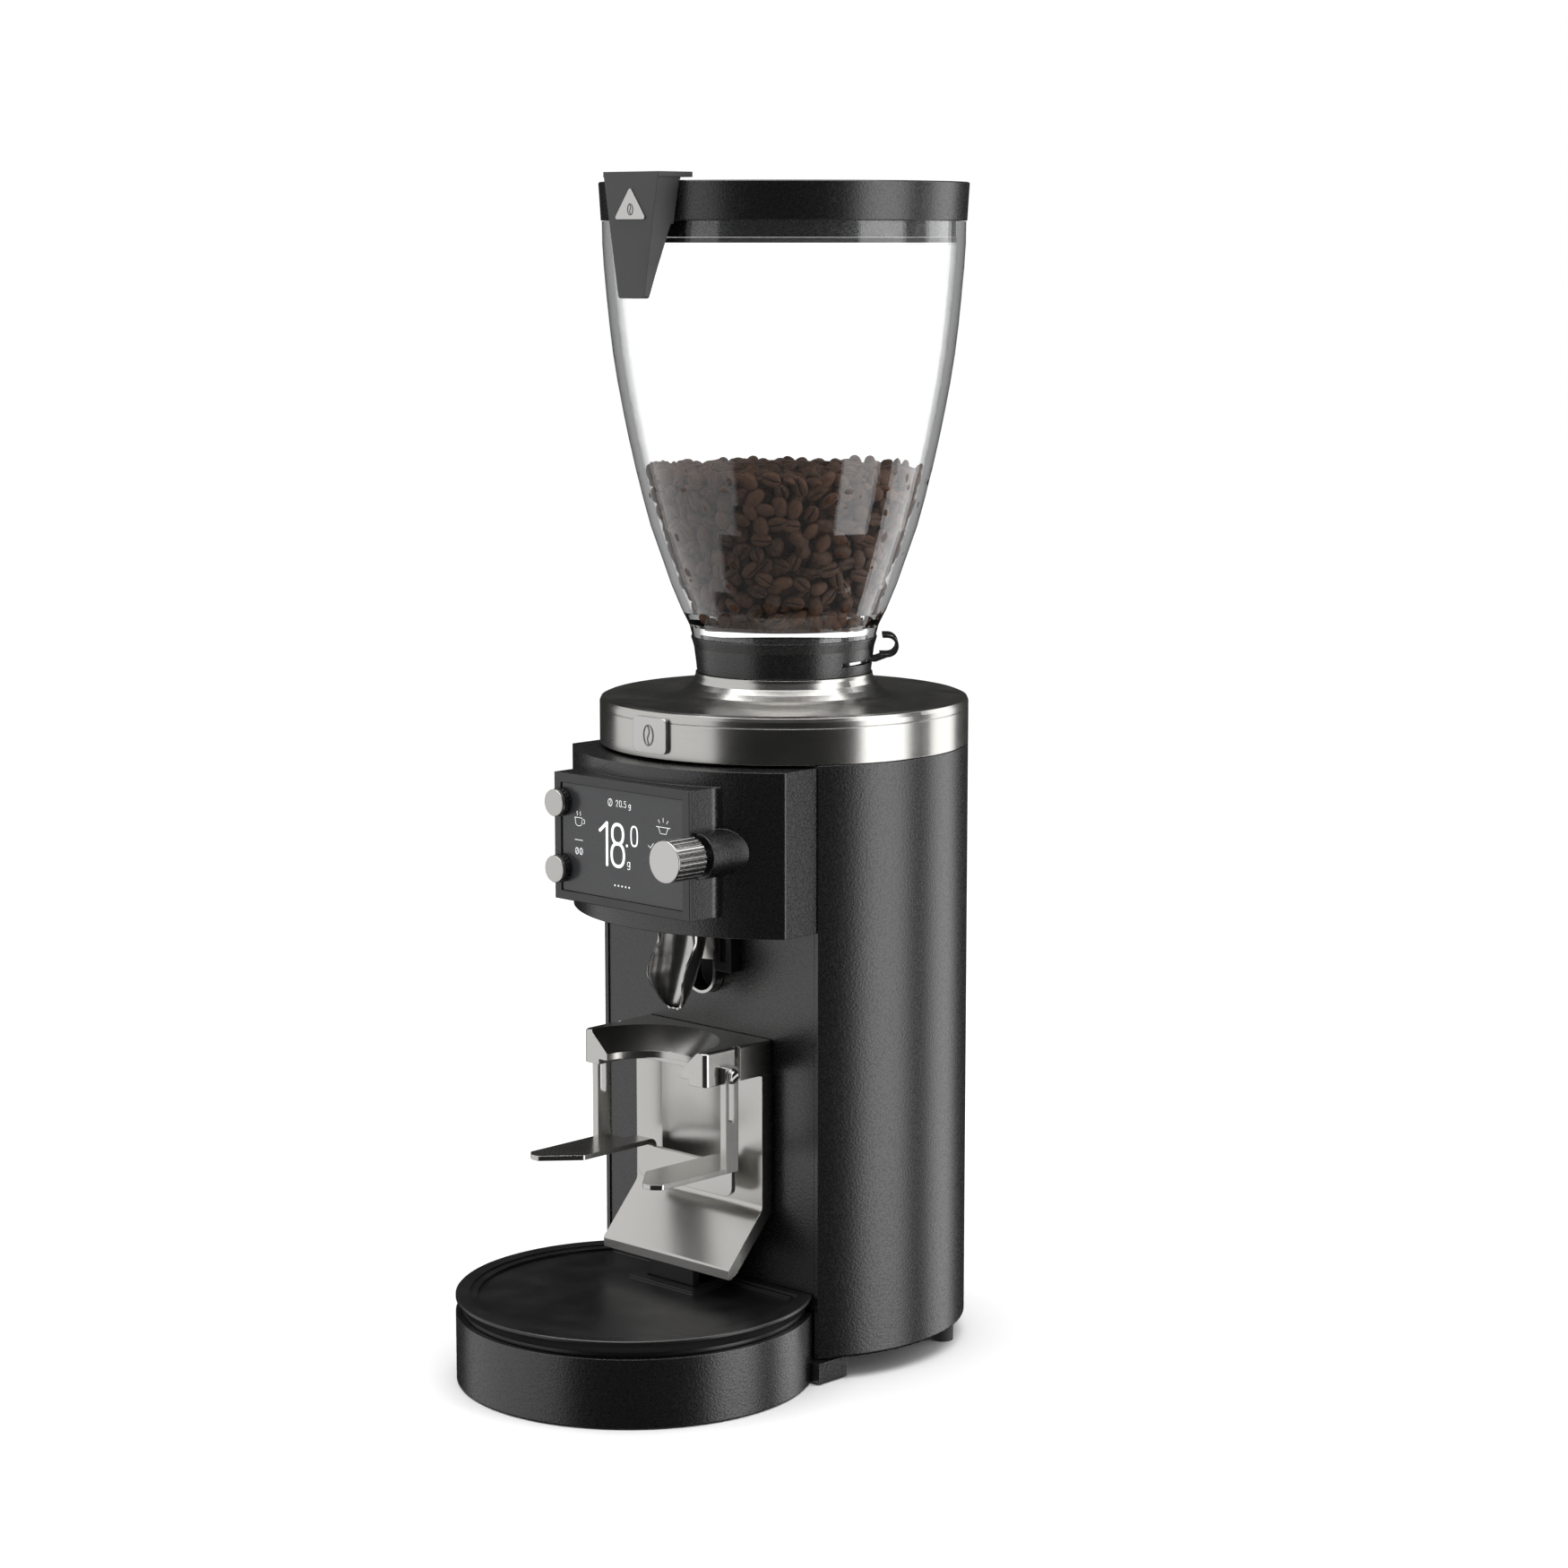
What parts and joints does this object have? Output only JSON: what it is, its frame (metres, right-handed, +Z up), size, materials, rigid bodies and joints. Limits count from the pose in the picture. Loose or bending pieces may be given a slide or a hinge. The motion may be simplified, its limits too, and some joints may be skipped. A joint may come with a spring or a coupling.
{
  "type": "burr coffee grinder",
  "caption": "Upright on-demand coffee grinder with a clear bean hopper, steel top ring, display head, height-adjusted portafilter fork and round drip tray.",
  "frame": {"origin": "on the standing surface, under the middle of the machine's overall width and depth", "axes": "+Z up, -Y towards the user (display, fork and tray side), +X to the right seen from the user"},
  "size_m": [0.222, 0.3438, 0.7032],
  "materials": {
    "black_texture": "fine leather-grain powder coat",
    "steel_plain": "plain machined",
    "rubber": "matt",
    "cast_aluminium": "cast",
    "black_plastic": "fine grain",
    "steel_satin": "satin",
    "steel_polished": "polished",
    "copper": "varnished winding",
    "grey_plastic": "smooth matt",
    "burr_steel": "ground",
    "bronze": "machined",
    "display_face": "satin black",
    "display_cover": "dark, gloss",
    "circuit": "solder mask",
    "badge_steel": "satin",
    "clear_hopper": "clear, smooth",
    "beans": "roasted, slightly oily",
    "feeler_plastic": "gloss"
  },
  "bodies": {
    "chassis": {"base_casting": "black_texture", "base_bottom_plate": "steel_plain", "rubber_feet": "rubber", "load_cell": "cast_aluminium", "scale_post": "black_plastic", "weigh_plate": "steel_satin", "cradle": "steel_satin", "height_screws": "steel_polished", "outlet_spout": "steel_polished", "outlet_flap": "steel_satin", "outlet_guide": "black_plastic", "chute": "steel_polished", "rear_shell": "black_texture", "front_panel": "black_texture", "tower_base_plate": "steel_plain", "frame_rods": "steel_plain", "motor_deck": "cast_aluminium", "upper_deck": "cast_aluminium", "motor_housing": "cast_aluminium", "motor_stator": "copper", "motor_bearings": "steel_polished", "start_capacitor": "grey_plastic", "grinder_body": "cast_aluminium", "adjuster_bracket": "cast_aluminium", "head_housing": "black_texture", "display_bezel": "display_face", "display_glass": "display_cover", "display_module": "grey_plastic", "control_board": "circuit", "button_collars": "black_plastic", "top_cover": "steel_satin", "ring_badge": "steel_satin", "feed_throat": "cast_aluminium", "service_panel": "black_plastic", "power_inlet": "feeler_plastic", "switch_frame": "black_plastic"},
    "rotor": {"motor_rotor": "steel_plain", "rotor_shaft": "steel_plain", "cooling_fan": "grey_plastic", "lower_burr": "burr_steel", "lower_burr_carrier": "cast_aluminium"},
    "adjuster": {"adjusting_ring": "bronze", "upper_burr_carrier": "cast_aluminium", "upper_burr": "burr_steel"},
    "dial": {"grind_knob": "steel_polished", "worm_shaft": "steel_plain"},
    "upper_key": {"upper_button": "badge_steel"},
    "lower_key": {"lower_button": "badge_steel"},
    "fork": {"fork": "steel_satin"},
    "tray": {"tray": "black_plastic"},
    "rocker": {"mains_switch": "feeler_plastic"},
    "hopper": {"hopper_shell": "clear_hopper", "hopper_collar": "black_texture", "coffee_beans": "beans"},
    "gate": {"gate_slider": "steel_polished"},
    "lid": {"hopper_lid": "black_plastic", "lid_gasket": "rubber", "lid_clip": "grey_plastic", "clip_badge": "badge_steel"}
  },
  "joints": [
    {"name": "rotor_spin", "type": "hinge", "parent": "chassis", "child": "rotor", "pos_m": [0, 0.0609, 0.15], "axis": [0, 0, 1], "continuous": true},
    {"name": "grind_dial", "type": "hinge", "parent": "chassis", "child": "dial", "pos_m": [0.0595, -0.0891, 0.3185], "axis": [0, 1, 0], "range_deg": [-2520, 5760]},
    {"name": "adjuster_turn", "type": "hinge", "parent": "chassis", "child": "adjuster", "pos_m": [0, 0.0609, 0.3185], "axis": [0, 0, 1], "range_deg": [-35.5, 80.5]},
    {"name": "upper_key_press", "type": "slide", "parent": "chassis", "child": "upper_key", "axis": [0, 1, 0], "range_m": [0, 0.0009], "stiffness_N_per_m": 900},
    {"name": "lower_key_press", "type": "slide", "parent": "chassis", "child": "lower_key", "axis": [0, 1, 0], "range_m": [0, 0.0009], "stiffness_N_per_m": 900},
    {"name": "fork_height", "type": "slide", "parent": "chassis", "child": "fork", "axis": [0, 0, 1], "range_m": [0, 0.025]},
    {"name": "tray_lift", "type": "slide", "parent": "chassis", "child": "tray", "axis": [0, 0, 1], "range_m": [0, 0.009]},
    {"name": "mains_rocker", "type": "hinge", "parent": "chassis", "child": "rocker", "pos_m": [0.016, 0.1499, 0.043], "axis": [1, 0, 0], "range_deg": [-14, 0]},
    {"name": "hopper_lift", "type": "slide", "parent": "chassis", "child": "hopper", "axis": [0, 0, 1], "range_m": [0, 0.08]},
    {"name": "gate_pull", "type": "slide", "parent": "hopper", "child": "gate", "axis": [0.7218, 0.6921, 0], "range_m": [0, 0.05]},
    {"name": "lid_lift", "type": "slide", "parent": "hopper", "child": "lid", "axis": [0, 0, 1], "range_m": [0, 0.08]}
  ],
  "couplings": [
    {"joint": "adjuster_turn", "follows": "grind_dial", "ratio": 0.013889}
  ]
}
